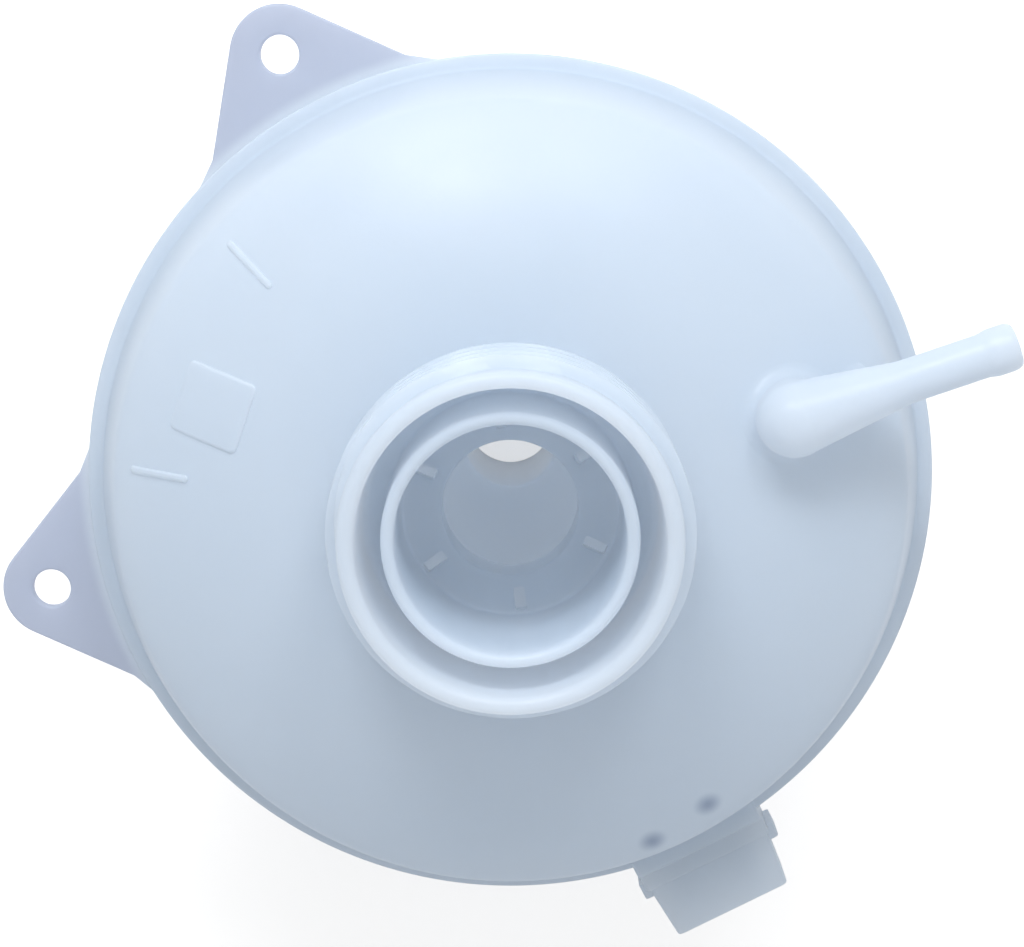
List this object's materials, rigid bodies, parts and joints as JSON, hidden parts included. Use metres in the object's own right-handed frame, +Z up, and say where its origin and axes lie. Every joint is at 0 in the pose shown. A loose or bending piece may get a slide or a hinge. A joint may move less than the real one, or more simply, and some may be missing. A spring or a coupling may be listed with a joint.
{
  "type": "coolant expansion tank",
  "caption": "Round flattened plastic coolant expansion tank with a double walled filler neck, a return nipple, fixing ears, a sensor socket and a hose outlet below.",
  "frame": {"origin": "midway between the two fixing holes, on the weld plane, which is the top face of the ear plates", "axes": "+Z up the filler neck, +X from the fixing holes towards the neck axis, +Y completes the right hand"},
  "size_m": [0.1756, 0.172, 0.1585],
  "materials": {
    "shell_plastic": "milky translucent moulded plastic",
    "pin_steel": "drawn stainless steel"
  },
  "bodies": {
    "root": {"upper_shell": "shell_plastic", "lower_shell": "shell_plastic", "electrode_left": "pin_steel", "electrode_right": "pin_steel"}
  },
  "joints": []
}
